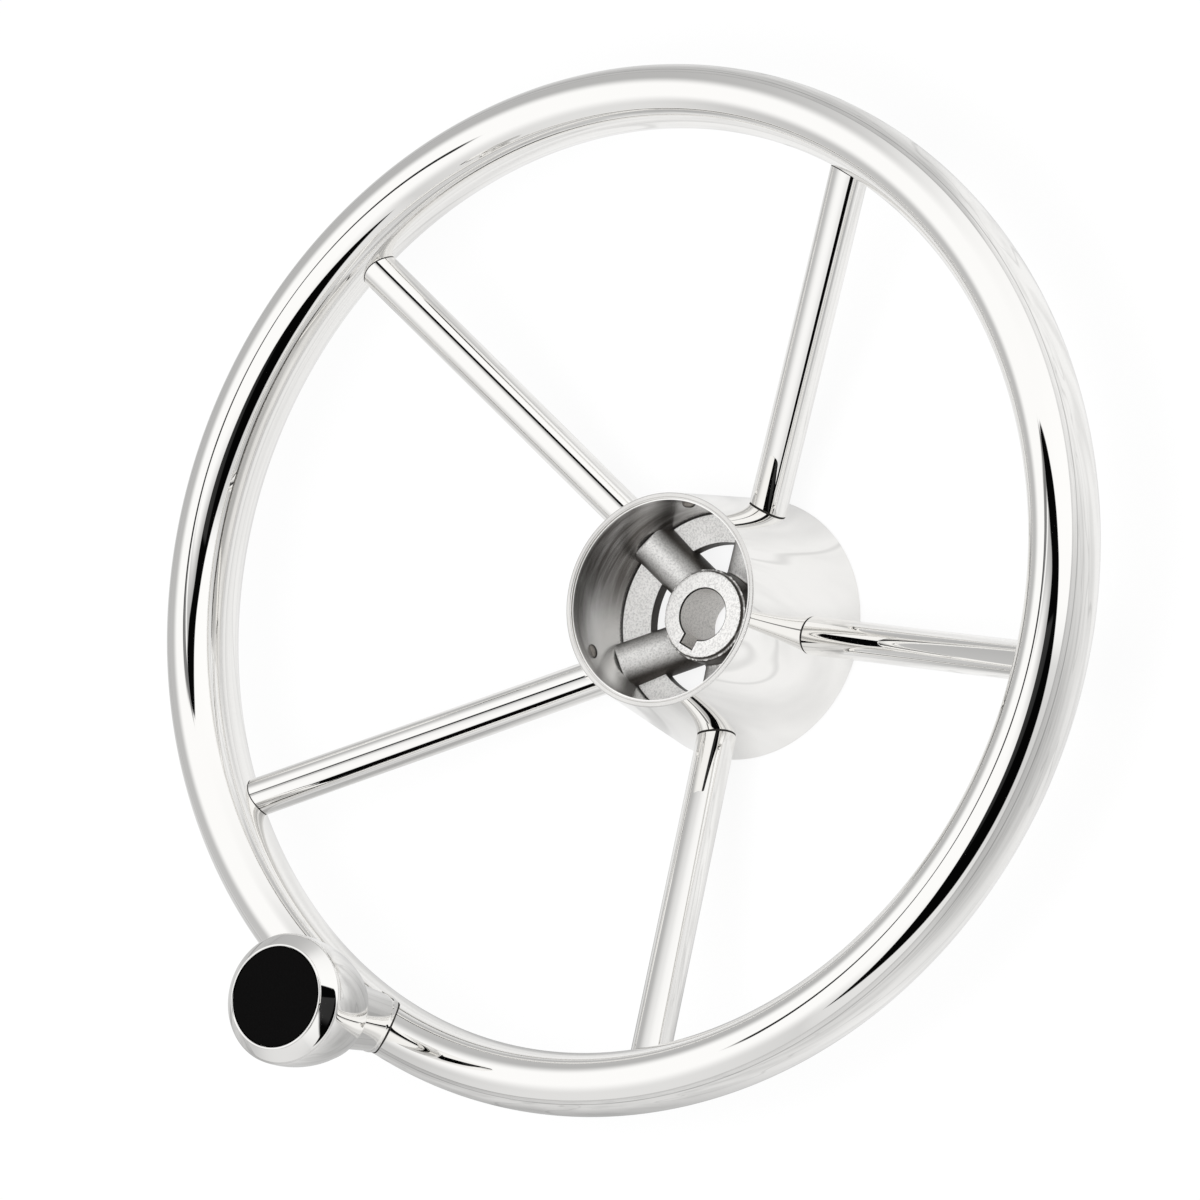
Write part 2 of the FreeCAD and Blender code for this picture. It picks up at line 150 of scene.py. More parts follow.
def feed(node, inputs):
    """Give a node's sockets values or links, by name or in order. A node gives its first output in use."""
    for socket, value in inputs.items() if isinstance(inputs, dict) else enumerate(inputs):
        if isinstance(value, bpy.types.Node):
            value = next(output for output in value.outputs if output.enabled)
        if isinstance(value, bpy.types.NodeSocket):
            node.id_data.links.new(value, node.inputs[socket])
        else:
            node.inputs[socket].default_value = value
    return node


def add(tree, kind, inputs=(), **settings):
    """Add a node with its settings and feed its sockets."""
    made = tree.nodes.new(kind)
    for name, value in settings.items():
        setattr(made, name, value)
    return feed(made, inputs)


def product(tree, first, *factors):
    """All the factors multiplied together."""
    for factor in factors:
        first = add(tree, "ShaderNodeMath", [first, factor], operation="MULTIPLY")
    return first


def fades(tree, *ramps):
    """Smooth ramps multiplied together: each is a value, where it starts and stops, and its level there."""
    return product(tree, *[add(tree, "ShaderNodeMapRange", ramp, interpolation_type="SMOOTHSTEP")
                           for ramp in ramps])


def between(tree, value, low, high, soft):
    """1 where a value lies from low to high and 0 elsewhere, with edges that are soft either way."""
    past_low = add(tree, "ShaderNodeMath", [value, low], operation="SUBTRACT")
    past_high = add(tree, "ShaderNodeMath", [value, high], operation="SUBTRACT")
    return fades(tree, (past_low, -soft, soft, 0.0, 1.0), (past_high, -soft, soft, 1.0, 0.0))


def what_is_left(tree, taken, share=1.0):
    """One less a share of what is taken."""
    return add(tree, "ShaderNodeMath", [taken, -share, 1.0], operation="MULTIPLY_ADD")


def material(name):
    """A new material with its node tree, its shader and the object's own coordinates."""
    made = bpy.data.materials.new(name)
    made.use_nodes = True
    tree = made.node_tree
    return made, tree, tree.nodes["Principled BSDF"], add(tree, "ShaderNodeTexCoord").outputs["Object"]


# the two colour sockets of a Mix node that mixes colours
MIX_A, MIX_B = 6, 7


def polished_stainless():
    """Mirror-polished 316 stainless: near-white mirror, a faint haze and a slow waviness left by the mops."""
    made, tree, shader, place = material("mirror_polished_stainless")
    haze = add(tree, "ShaderNodeTexNoise", {"Vector": place, "Scale": 1 / (14 * MM), "Detail": 3.0})
    roughness = add(tree, "ShaderNodeMapRange", {"Value": haze, "From Min": 0.3, "From Max": 0.7,
                                                 "To Min": 0.01, "To Max": 0.035})
    waves = add(tree, "ShaderNodeTexNoise", {"Vector": place, "Scale": 1 / (22 * MM), "Detail": 1.0})
    bump = add(tree, "ShaderNodeBump", {"Height": waves, "Strength": 0.25, "Distance": 0.12 * MM})
    feed(shader, {"Base Color": colour("#F7F6F4"), "Metallic": 1.0, "Roughness": roughness, "Normal": bump})
    return made


def cast_stainless(name, side, top, grain_bump=0.2 * MM):
    """Sand-textured investment casting, sandblasted: a matt skin with painted light on top and painted shade
    on its sides, as light from above would fall.

    The sandblasted skin scatters more light than it mirrors, so it is only partly metallic.
    """
    made, tree, shader, place = material(name)
    facing = add(tree, "ShaderNodeSeparateXYZ", [add(tree, "ShaderNodeTexCoord").outputs["Normal"]])
    # painted light on faces that look up and painted shade on faces that look sideways, between the top and
    # side colours
    painted_top_light = fades(tree, (facing.outputs["Z"], 0.48, 1.0, 0.0, 1.0))
    tone = add(tree, "ShaderNodeMix", {"Factor": painted_top_light, MIX_A: colour(side), MIX_B: colour(top)},
               data_type="RGBA")
    # sand grains of 0.6 mm, with a little dark left in the pits between them
    grains = add(tree, "ShaderNodeTexNoise", {"Vector": place, "Scale": 1 / (0.6 * MM), "Detail": 2.0})
    pits = add(tree, "ShaderNodeMapRange", {"Value": grains, "From Min": 0.3, "From Max": 0.58,
                                            "To Min": 0.7, "To Max": 1.0})
    tint = add(tree, "ShaderNodeVectorMath", {0: tone, "Scale": pits}, operation="SCALE")
    # the skin itself rolls slowly, over 5 mm
    skin = add(tree, "ShaderNodeTexNoise", {"Vector": place, "Scale": 1 / (5 * MM), "Detail": 2.0})
    slow = add(tree, "ShaderNodeBump", {"Height": skin, "Strength": 0.4, "Distance": 0.4 * MM})
    fine = add(tree, "ShaderNodeBump", {"Height": grains, "Strength": 0.5, "Distance": grain_bump,
                                        "Normal": slow})
    feed(shader, {"Base Color": tint, "Metallic": 0.45, "Roughness": 0.4, "Normal": fine})
    return made


def satin_stainless():
    """The cup's inner wall, turned and left satin, with brown-grey painted shade round the second arm and
    towards the lip.
    """
    made, tree, shader, place = material("satin_turned_stainless")
    height = add(tree, "ShaderNodeSeparateXYZ", [place]).outputs["Z"]
    # the painted shade lies round the second arm and towards the lip, but little of it on the lip's top
    shade_turn = 2 * math.pi / SPOKE_COUNT
    flat = add(tree, "ShaderNodeVectorMath", [place, (1, 1, 0)], operation="MULTIPLY")
    outward = add(tree, "ShaderNodeVectorMath", [flat], operation="NORMALIZE")
    towards = add(tree, "ShaderNodeVectorMath", [outward, (math.cos(shade_turn), math.sin(shade_turn), 0)],
                  operation="DOT_PRODUCT")
    side = fades(tree, (towards, 0.55, 0.97, 0.0, 1.0))
    rise = fades(tree, (height, 38 * MM, 53 * MM, 0.0, 0.8))
    shaded_area = add(tree, "ShaderNodeMath", [side, rise], operation="MAXIMUM")
    lip = add(tree, "ShaderNodeMapRange", {"Value": height, "From Min": 54.6 * MM, "From Max": 55.6 * MM,
                                           "To Min": 1.0, "To Max": 0.35})
    # it has streaks that run round the wall, 2.4 mm high and about 17 mm long
    streak = Vector((50 / 3, 50 / 3, 2.4)) * MM
    banded = add(tree, "ShaderNodeVectorMath", [place, streak], operation="DIVIDE")
    streaks = add(tree, "ShaderNodeTexNoise", {"Vector": banded, "Scale": 1.0, "Detail": 4.0})
    strength = add(tree, "ShaderNodeMapRange", {"Value": streaks, "From Min": 0.3, "From Max": 0.65,
                                                "To Min": 0.66, "To Max": 1.0})
    # painted shade: the wall darkened to brown-grey where this mask is strong
    painted_shade = product(tree, shaded_area, lip, strength)
    tint = add(tree, "ShaderNodeMix", {"Factor": painted_shade, MIX_A: colour("#F3F2F0"), MIX_B: colour("#544E49")},
               data_type="RGBA")
    # tool rings 0.6 mm apart spread a reflection up and down
    ring = Vector((25, 25, 0.6)) * MM
    turned = add(tree, "ShaderNodeVectorMath", [place, ring], operation="DIVIDE")
    rings = add(tree, "ShaderNodeTexNoise", {"Vector": turned, "Scale": 1.0, "Detail": 2.0})
    bump = add(tree, "ShaderNodeBump", {"Height": rings, "Strength": 0.25, "Distance": 0.05 * MM})
    feed(shader, {"Base Color": tint, "Metallic": 0.75, "Roughness": 0.2, "Normal": bump})
    return made


def turned_steel():
    """Plain turned stainless of the bolt and washer, with fine tool rings about the knob's axis."""
    made, tree, shader, place = material("plain_turned_stainless")
    centred = add(tree, "ShaderNodeVectorMath", [place, KNOB_CENTRE], operation="SUBTRACT")
    rings = add(tree, "ShaderNodeTexWave", {"Vector": centred, "Scale": 1 / (4 * MM)}, wave_type="RINGS",
                rings_direction="Z")
    bump = add(tree, "ShaderNodeBump", {"Height": rings.outputs["Fac"], "Strength": 0.3,
                                        "Distance": 0.02 * MM})
    feed(shader, {"Base Color": colour("#C8C6C3"), "Metallic": 1.0, "Roughness": 0.25, "Normal": bump})
    return made


def black_moulding():
    """The cap's black ABS, moulded with a fine spark-eroded grain drawn at 0.5 mm so that it shows."""
    made, tree, shader, place = material("black_grained_abs")
    grain = add(tree, "ShaderNodeTexNoise", {"Vector": place, "Scale": 1 / (0.5 * MM), "Detail": 3.0})
    tint = add(tree, "ShaderNodeMix", {"Factor": grain, MIX_A: colour("#010101"), MIX_B: colour("#0A0909")},
               data_type="RGBA")
    bump = add(tree, "ShaderNodeBump", {"Height": grain, "Strength": 0.5, "Distance": 0.08 * MM})
    feed(shader, {"Base Color": tint, "Roughness": 0.75, "IOR": 1.5, "Specular IOR Level": 0.06,
                  "Normal": bump})
    return made


def black_acetal():
    """The bushes' black acetal, machined: dark, slightly waxy, with faint cutting marks."""
    made, tree, shader, place = material("black_acetal")
    marks = add(tree, "ShaderNodeTexNoise", {"Vector": place, "Scale": 1 / (0.8 * MM), "Detail": 1.0})
    bump = add(tree, "ShaderNodeBump", {"Height": marks, "Strength": 0.2, "Distance": 0.03 * MM})
    feed(shader, {"Base Color": colour("#1B1B1C"), "Roughness": 0.4, "Normal": bump})
    return made


def painted_joint_shade():
    """Painted shade, near-black and a little mottled, for the fine grooves and gaps round welded joints."""
    made, tree, shader, place = material("dark_joint_residue")
    shade_mottle = add(tree, "ShaderNodeTexNoise", {"Vector": place, "Scale": 1 / (1.5 * MM), "Detail": 2.0})
    tint = add(tree, "ShaderNodeMix", {"Factor": shade_mottle, MIX_A: colour("#0E0D0C"), MIX_B: colour("#2B2825")},
               data_type="RGBA")
    feed(shader, {"Base Color": tint, "Roughness": 0.7})
    return made


POLISHED = polished_stainless()
# the casting's side colour is painted shade and its top colour painted light; the lugs' pair is darker all
# over
CAST = cast_stainless("blasted_cast_stainless", "#4A4642", "#FDFCFA")
LUG_CAST = cast_stainless("lug_cast_stainless", "#2E2A27", "#8A857F")
BORED = cast_stainless("reamed_cast_stainless", "#F4F2EF", "#F4F2EF", 0.04 * MM)
SATIN = satin_stainless()
TURNED = turned_steel()
BLACK_CAP = black_moulding()
ACETAL = black_acetal()
JOINT_SHADE = painted_joint_shade()


def piece(mesh, name):
    """An object at the origin that holds the mesh."""
    made = bpy.data.objects.new(name, mesh)
    bpy.context.scene.collection.objects.link(made)
    return made


def rounded(corners, step=math.radians(9), hold=0.12):
    """A closed outline from corners (radius, height, fillet). A point beside each end of an arc holds it."""
    points = []
    count = len(corners)
    for index, (radius, height, fillet) in enumerate(corners):
        here = Vector((radius, height))
        if fillet == 0:
            points.append(here)
            continue
        before = (Vector(corners[index - 1][:2]) - here).normalized()
        after = (Vector(corners[(index + 1) % count][:2]) - here).normalized()
        half = before.angle(after) / 2
        reach = fillet / math.tan(half)
        centre = here + (before + after).normalized() * fillet / math.sin(half)
        first = here + before * reach - centre
        turn = math.pi - 2 * half
        side = 1 if first.x * after.y - first.y * after.x > 0 else -1
        steps = max(2, round(turn / step))
        points.append(here + before * reach * (1 + hold))
        points += [centre + Matrix.Rotation(side * turn * i / steps, 2) @ first for i in range(steps + 1)]
        points.append(here + after * reach * (1 + hold))
    return points


def lathe(name, outline, axis=Vector((0, 0, 0)), segments=256, materials=(), choose=None):
    """Turn a closed outline of (radius, height) about an upright axis. Points on the axis become poles."""
    on_axis = 1e-9
    turns = [2 * math.pi * i / segments for i in range(segments)]
    outline = [Vector(point) for point in outline]
    shape = bmesh.new()
    rings = []
    for radius, height in outline:
        if radius < on_axis:
            rings.append([shape.verts.new(axis + Vector((0, 0, height)))])
        else:
            rings.append([shape.verts.new(axis + Vector((radius * math.cos(turn), radius * math.sin(turn),
                                                         height))) for turn in turns])
    for index, ring in enumerate(rings):
        after = (index + 1) % len(rings)
        following = rings[after]
        if len(ring) == 1 and len(following) == 1:
            continue
        for i in range(segments):
            j = (i + 1) % segments
            corners = [ring[i % len(ring)], ring[j % len(ring)],
                       following[j % len(following)], following[i % len(following)]]
            face = shape.faces.new(dict.fromkeys(corners))
            face.smooth = True
            if choose:
                face.material_index = choose(outline[index], outline[after])
    bmesh.ops.recalc_face_normals(shape, faces=shape.faces)
    mesh = bpy.data.meshes.new(name)
    shape.to_mesh(mesh)
    shape.free()
    mesh.set_sharp_from_angle(angle=CRISP_EDGE)
    for finish in materials:
        mesh.materials.append(finish)
    return piece(mesh, name)


def block(name, middle, size):
    """A plain block, to cut with."""
    shape = bmesh.new()
    bmesh.ops.create_cube(shape, size=1.0, matrix=Matrix.Translation(middle) @ Matrix.Diagonal((*size, 1)))
    mesh = bpy.data.meshes.new(name)
    shape.to_mesh(mesh)
    shape.free()
    return piece(mesh, name)


def evaluated_mesh(made, name):
    """The object's mesh as its modifiers leave it. The modifiers then go."""
    bpy.context.view_layer.update()
    mesh = bpy.data.meshes.new_from_object(made.evaluated_get(bpy.context.evaluated_depsgraph_get()))
    made.modifiers.clear()
    mesh.name = name
    return mesh


def cut(made, tools, operation="DIFFERENCE"):
    """Cut a piece by tools, or keep only what lies inside them."""
    for tool in tools:
        cutter = made.modifiers.new("cut", "BOOLEAN")
        cutter.operation = operation
        cutter.solver = "MANIFOLD"
        cutter.object = tool
    made.data = evaluated_mesh(made, made.name)
    return made


def grow(name, tree, finish=None, **values):
    """Run a geometry tree with its named inputs and keep the result as a plain mesh."""
    carrier = piece(bpy.data.meshes.new(name + "_carrier"), name + "_carrier")
    modifier = carrier.modifiers.new("grow", "NODES")
    modifier.node_group = tree
    sockets = {item.name: item.identifier for item in tree.interface.items_tree if item.in_out == "INPUT"}
    for label, value in values.items():
        modifier[sockets[label.replace("_", " ")]] = value
    mesh = evaluated_mesh(carrier, name)
    bpy.data.objects.remove(carrier)
    if finish:
        mesh.materials.clear()
        mesh.materials.append(finish)
    return piece(mesh, name)


def new_tree(name, **inputs):
    """A geometry tree with named inputs: lengths and counts with their defaults, or an object."""
    kinds = {float: "NodeSocketFloat", int: "NodeSocketInt", type(None): "NodeSocketObject"}
    tree = bpy.data.node_groups.new(name, "GeometryNodeTree")
    for label, default in inputs.items():
        socket = tree.interface.new_socket(label.replace("_", " "), in_out="INPUT",
                                           socket_type=kinds[type(default)])
        if default is not None:
            socket.default_value = default
    tree.interface.new_socket("Geometry", in_out="OUTPUT", socket_type="NodeSocketGeometry")
    return tree, add(tree, "NodeGroupInput").outputs


def finish_tree(tree, geometry, finish):
    """End a geometry tree: smooth shading by angle, real geometry, one finish."""
    edge = add(tree, "GeometryNodeInputMeshEdgeAngle").outputs["Unsigned Angle"]
    soft = add(tree, "FunctionNodeCompare", {"A": edge, "B": CRISP_EDGE}, operation="LESS_THAN")
    smooth = add(tree, "GeometryNodeSetShadeSmooth", {"Geometry": geometry}, domain="FACE")
    edges = add(tree, "GeometryNodeSetShadeSmooth", {"Geometry": smooth, "Shade Smooth": soft}, domain="EDGE")
    real = add(tree, "GeometryNodeRealizeInstances", {"Geometry": edges})
    coated = add(tree, "GeometryNodeSetMaterial", {"Geometry": real, "Material": finish})
    add(tree, "NodeGroupOutput", [coated])
    return tree


def repeat_round(tree, one, count, first_turn=0.0):
    """The same piece again and again at even turns about the shaft's axis, joined."""
    points = add(tree, "GeometryNodePoints", {"Count": count})
    pitch = add(tree, "ShaderNodeMath", [2 * math.pi, count], operation="DIVIDE")
    index = add(tree, "GeometryNodeInputIndex")
    turn = add(tree, "ShaderNodeMath", [index, pitch, first_turn], operation="MULTIPLY_ADD")
    rotation = add(tree, "ShaderNodeCombineXYZ", {"Z": turn})
    copies = add(tree, "GeometryNodeInstanceOnPoints", {"Points": points, "Instance": one,
                                                        "Rotation": rotation})
    return add(tree, "GeometryNodeRealizeInstances", {"Geometry": copies})


def rim_tree():
    """The rim: an oval section carried round a circle."""
    tree, given = new_tree("oval_rim", Ring_radius=RIM_RADIUS, Half_width=RIM_HALF_WIDTH,
                           Half_depth=RIM_HALF_DEPTH, Height=RIM_HEIGHT)
    path = add(tree, "GeometryNodeCurvePrimitiveCircle", {"Resolution": 512, "Radius": given["Ring radius"]})
    upright = add(tree, "GeometryNodeSetCurveNormal", {"Curve": path}, mode="Z_UP")
    unit = add(tree, "GeometryNodeCurvePrimitiveCircle", {"Resolution": 96, "Radius": 1.0})
    size = add(tree, "ShaderNodeCombineXYZ", {"X": given["Half width"], "Y": given["Half depth"], "Z": 1.0})
    oval = add(tree, "GeometryNodeTransform", {"Geometry": unit, "Scale": size})
    tube = add(tree, "GeometryNodeCurveToMesh", {"Curve": upright, "Profile Curve": oval})
    lift = add(tree, "ShaderNodeCombineXYZ", {"Z": given["Height"]})
    raised = add(tree, "GeometryNodeTransform", {"Geometry": tube, "Translation": lift})
    return finish_tree(tree, raised, POLISHED)


def spoke_tree():
    """Sleeves on the spoke axes. Each end is coped: a ray from mid-span finds the cup or the rim."""
    around, along = 72, 24
    tree, given = new_tree("coped_sleeves", Outer_radius=SPOKE_RADIUS, Inner_radius=SPOKE_RADIUS - SPOKE_WALL,
                           Start_at_rim=0.0, Start_offset=0.0, End_at_rim=1.0, End_offset=0.0,
                           Count=SPOKE_COUNT, Cup=None, Rim=None)
    # a ring in rows: the points of a row go up the outside and come back down the bore
    loop = add(tree, "GeometryNodeCurvePrimitiveCircle", {"Resolution": around, "Radius": 1.0})
    section = add(tree, "GeometryNodeCurvePrimitiveCircle", {"Resolution": 2 * along, "Radius": 0.1})
    ring = add(tree, "GeometryNodeCurveToMesh", {"Curve": loop, "Profile Curve": section})
    index = add(tree, "GeometryNodeInputIndex")
    rows = add(tree, "ShaderNodeMath", [index, 2 * along], operation="DIVIDE")
    row = add(tree, "ShaderNodeMath", [rows], operation="FLOOR")
    turn = product(tree, row, 2 * math.pi / around)
    slot = add(tree, "ShaderNodeMath", [index, 2 * along], operation="MODULO")
    inside = add(tree, "ShaderNodeMath", [slot, along - 0.5], operation="GREATER_THAN")
    # travel goes from 0 to 1 up the outside, then from 1 to 0 down the bore
    folded = add(tree, "ShaderNodeMath", [inside, 1 - 2 * along, slot], operation="MULTIPLY_ADD")
    steps = add(tree, "ShaderNodeMath", [folded], operation="ABSOLUTE")
    travel = add(tree, "ShaderNodeMath", [steps, along - 1], operation="DIVIDE")
    radius = add(tree, "ShaderNodeMix", {"Factor": inside, "A": given["Outer radius"],
                                         "B": given["Inner radius"]})

    # a point on the tube's surface half way along the spoke, and the spoke's direction
    outward = Vector((math.cos(DISH), 0, math.sin(DISH)))
    mid_radius = (RIM_RADIUS + BACK_RADIUS) / 2
    middle = Vector((mid_radius, 0, RIM_HEIGHT - (RIM_RADIUS - mid_radius) * math.tan(DISH)))
    lift = product(tree, radius, add(tree, "ShaderNodeMath", [turn], operation="COSINE"))
    side = product(tree, radius, add(tree, "ShaderNodeMath", [turn], operation="SINE"))
    start = add(tree, "ShaderNodeCombineXYZ", [
        add(tree, "ShaderNodeMath", [lift, -math.sin(DISH), middle.x], operation="MULTIPLY_ADD"), side,
        add(tree, "ShaderNodeMath", [lift, math.cos(DISH), middle.z], operation="MULTIPLY_ADD")])
    hits = []
    for target, way in (("Cup", -outward), ("Rim", outward)):
        shown = add(tree, "GeometryNodeObjectInfo", {"Object": given[target]}).outputs["Geometry"]
        ray = add(tree, "GeometryNodeRaycast", {"Target Geometry": shown, "Source Position": start,
                                                "Ray Direction": way, "Ray Length": RIM_RADIUS})
        hits.append(ray.outputs["Hit Distance"])
    cup_hit, rim_hit = product(tree, hits[0], -1.0), hits[1]
    ends = []
    for which in ("Start", "End"):
        hit = add(tree, "ShaderNodeMix", {"Factor": given[which + " at rim"], "A": cup_hit, "B": rim_hit})
        ends.append(add(tree, "ShaderNodeMath", [hit, given[which + " offset"]], operation="ADD"))
    distance = add(tree, "ShaderNodeMix", {"Factor": travel, "A": ends[0], "B": ends[1]})
    step = add(tree, "ShaderNodeVectorMath", {0: outward, "Scale": distance}, operation="SCALE")
    place = add(tree, "ShaderNodeVectorMath", [start, step], operation="ADD")
    sleeve = add(tree, "GeometryNodeSetPosition", {"Geometry": ring, "Position": place})
    return finish_tree(tree, repeat_round(tree, sleeve, given["Count"]), POLISHED)


def lug_tree():
    """Small oblong lugs behind the lip for a snap-in centre cap, with a flat towards the middle."""
    tree, given = new_tree("cap_lugs", Count=LUG_COUNT, Ring_radius=0.0, Height=LUG_HEIGHT, Proud=LUG_PROUD,
                           Half_length=LUG_HALF_LENGTH, Half_height=LUG_HALF_HEIGHT, First_turn=LUG_TURN)
    ball = add(tree, "GeometryNodeMeshUVSphere", {"Segments": 48, "Rings": 32, "Radius": 1.0})
    round_place = add(tree, "GeometryNodeInputPosition")
    flattened = add(tree, "ShaderNodeVectorMath", [round_place, (-LUG_FLAT, -1, -1)], operation="MAXIMUM")
    pad = add(tree, "GeometryNodeSetPosition", {"Geometry": ball, "Position": flattened})
    size = add(tree, "ShaderNodeCombineXYZ", [given["Proud"], given["Half length"], given["Half height"]])
    place = add(tree, "ShaderNodeCombineXYZ", {"X": given["Ring radius"], "Z": given["Height"]})
    lug = add(tree, "GeometryNodeTransform", {"Geometry": pad, "Scale": size, "Translation": place})
    return finish_tree(tree, repeat_round(tree, lug, given["Count"], given["First turn"]), LUG_CAST)


def make_hub_shell():
    """The cup: polished cone, satin inner wall, and a lip with a satin top and one fine tool groove in it."""
    lip_inner = LIP_RADIUS - LIP_WALL
    lip_top = LIP_HEIGHT + LIP_CROWN
    web_root = WEB_OUTER_HEIGHT - WEB_THICKNESS
    groove_radius = LIP_RADIUS - LIP_WALL * 0.6
    corners = [(BACK_RADIUS - BACK_WALL, 0, BACK_INNER_ROUND), (BACK_RADIUS, 0, BACK_ROUND),
               (LIP_RADIUS, lip_top, LIP_ROUND), (groove_radius + LIP_GROOVE, lip_top, 0),
               (groove_radius, lip_top - LIP_GROOVE, 0), (groove_radius - LIP_GROOVE, lip_top, 0),
               (lip_inner, lip_top, LIP_INNER_ROUND),
               (WEB_WALL_RADIUS, WEB_OUTER_HEIGHT, 0), (WEB_WALL_RADIUS, web_root, 0)]

    def choose(first, second):
        middle = (first + second) / 2
        cone_radius = BACK_RADIUS + (LIP_RADIUS - BACK_RADIUS) * middle.y / LIP_HEIGHT
        wall = middle.x < cone_radius - LIP_WALL * 0.8 and middle.y > web_root
        lip = min(first.y, second.y) > lip_top - LIP_GROOVE * 1.5
        return 1 if wall or lip else 0
    return lathe("hub_shell", rounded(corners), segments=384, materials=(POLISHED, SATIN), choose=choose)


def make_hub_web():
    """The cast web plate, crisp at its hole, with a fine groove where it meets the cup's wall, painted dark
    as shade.
    """
    under = WEB_INNER_HEIGHT - WEB_THICKNESS
    sunk = WEB_WALL_RADIUS + WEB_SUNK
    slope = (WEB_OUTER_HEIGHT - WEB_INNER_HEIGHT) / (WEB_WALL_RADIUS - WEB_INNER_RADIUS)
    edge = WEB_WALL_RADIUS - WEB_GROOVE_WIDTH
    edge_top = WEB_INNER_HEIGHT + slope * (edge - WEB_INNER_RADIUS)
    groove_floor = edge_top - WEB_GROOVE_DEPTH
    corners = [(WEB_INNER_RADIUS, WEB_INNER_HEIGHT, WEB_HOLE_ROUND),
               (WEB_INNER_RADIUS, under, WEB_HOLE_ROUND),
               (sunk, edge_top - WEB_THICKNESS, 0), (sunk, groove_floor, 0), (edge, groove_floor, 0),
               (edge, edge_top, WEB_EDGE_ROUND)]

    def choose(first, second):
        middle = (first + second) / 2
        return 1 if middle.x > edge and middle.y > groove_floor - 0.1 * MM else 0
    return lathe("hub_web", rounded(corners), segments=256, materials=(CAST, JOINT_SHADE), choose=choose)


def make_hub_core():
    """The boss and its dished arms, blended together as cast, then bored to a taper and keyed."""
    corners = [(0, BOSS_BOTTOM, 0), (BOSS_RADIUS, BOSS_BOTTOM, BOSS_BACK_ROUND),
               (BOSS_RADIUS, BOSS_TOP, BOSS_FACE_ROUND), (0, BOSS_TOP, 0)]
    blanks = [lathe("boss_blank", rounded(corners), segments=128)]
    inner = BOSS_RADIUS - ARM_BURY
    length = (WEB_WALL_RADIUS + ARM_SUNK - inner) / math.cos(DISH)
    root = Matrix.Translation((inner, 0, RIM_HEIGHT - (RIM_RADIUS - inner) * math.tan(DISH)))
    lean = Matrix.Rotation(math.pi / 2 - DISH, 4, "Y")
    for index in range(SPOKE_COUNT):
        arm = lathe(f"arm_blank_{index}", [(0, 0), (ARM_RADIUS, 0), (ARM_RADIUS, length), (0, length)],
                    segments=64)
        arm.data.transform(Matrix.Rotation(2 * math.pi * index / SPOKE_COUNT, 4, "Z") @ root @ lean)
        blanks.append(arm)
    shape = bmesh.new()
    for blank in blanks:
        shape.from_mesh(blank.data)
        bpy.data.objects.remove(blank)
    mesh = bpy.data.meshes.new("hub_core")
    shape.to_mesh(mesh)
    shape.free()
    core = piece(mesh, "hub_core")
    remesh = core.modifiers.new("blend", "REMESH")
    remesh.mode = "VOXEL"
    remesh.voxel_size = CASTING_GRID
    soften = core.modifiers.new("soften", "SMOOTH")
    soften.iterations = CASTING_SOFTENING
    soften.factor = 0.6

    low, high = BOSS_BOTTOM - CUT_OVERRUN, BOSS_TOP + CUT_OVERRUN
    bore = lathe("bore_tool", [(0, low), (BORE_RADIUS + CUT_OVERRUN * BORE_TAPER, low),
                               (BORE_RADIUS - (high - BOSS_BOTTOM) * BORE_TAPER, high), (0, high)],
                 segments=192)
    key = block("key_tool", (-KEY_REACH / 2, 0, (low + high) / 2), (KEY_REACH, KEY_WIDTH, high - low))
    # a fine step at the mouth of the bore and of the keyway, with painted shade on it
    mouth_low = BOSS_TOP - MOUTH_STEP
    mouth_radius = BORE_RADIUS - (BOSS_TOP - BOSS_BOTTOM) * BORE_TAPER + MOUTH_STEP
    mouth = lathe("bore_mouth_tool", [(0, mouth_low), (mouth_radius, mouth_low), (mouth_radius, high),
                                      (0, high)], segments=192)
    slot_reach = KEY_REACH + MOUTH_STEP
    slot = block("key_mouth_tool", (-slot_reach / 2, 0, mouth_low + CUT_OVERRUN / 2),
                 (slot_reach, KEY_WIDTH + 2 * MOUTH_STEP, CUT_OVERRUN))
    tools = [bore, key, mouth, slot]
    finished = cut(core, tools).data
    for tool in tools:
        bpy.data.objects.remove(tool)
    finished.materials.clear()
    for finish in (CAST, BORED, JOINT_SHADE):
        finished.materials.append(finish)
    for face in finished.polygons:
        near = face.center.xy.length < KEY_REACH + 2 * MOUTH_STEP
        if near and BOSS_TOP - 1.5 * MOUTH_STEP < face.center.z < BOSS_TOP - 0.1 * MOUTH_STEP:
            face.material_index = 2
        elif near and abs(face.normal.z) < 0.7:
            face.material_index = 1
    finished.shade_smooth()
    finished.set_sharp_from_angle(angle=CRISP_CAST_EDGE)
    return core


def arc_points(first, last, centre_height, steps):
    """Points on the arc between two (radius, height) points, about a centre at the given height."""
    chord = last - first
    middle = (first + last) / 2
    rise = centre_height - middle.y
    centre = Vector((middle.x - rise * chord.y / chord.x, centre_height))
    begin = math.atan2(first.y - centre.y, first.x - centre.x)
    end = math.atan2(last.y - centre.y, last.x - centre.x)
    radius = (first - centre).length
    angles = [begin + (end - begin) * i / steps for i in range(steps + 1)]
    return [centre + radius * Vector((math.cos(angle), math.sin(angle))) for angle in angles]


def bend(first, corner, last, steps):
    """Points on a smooth bend from first to last that leans towards the corner between them."""
    ways = [i / steps for i in range(steps + 1)]
    return [first.lerp(corner, way).lerp(corner.lerp(last, way), way) for way in ways]


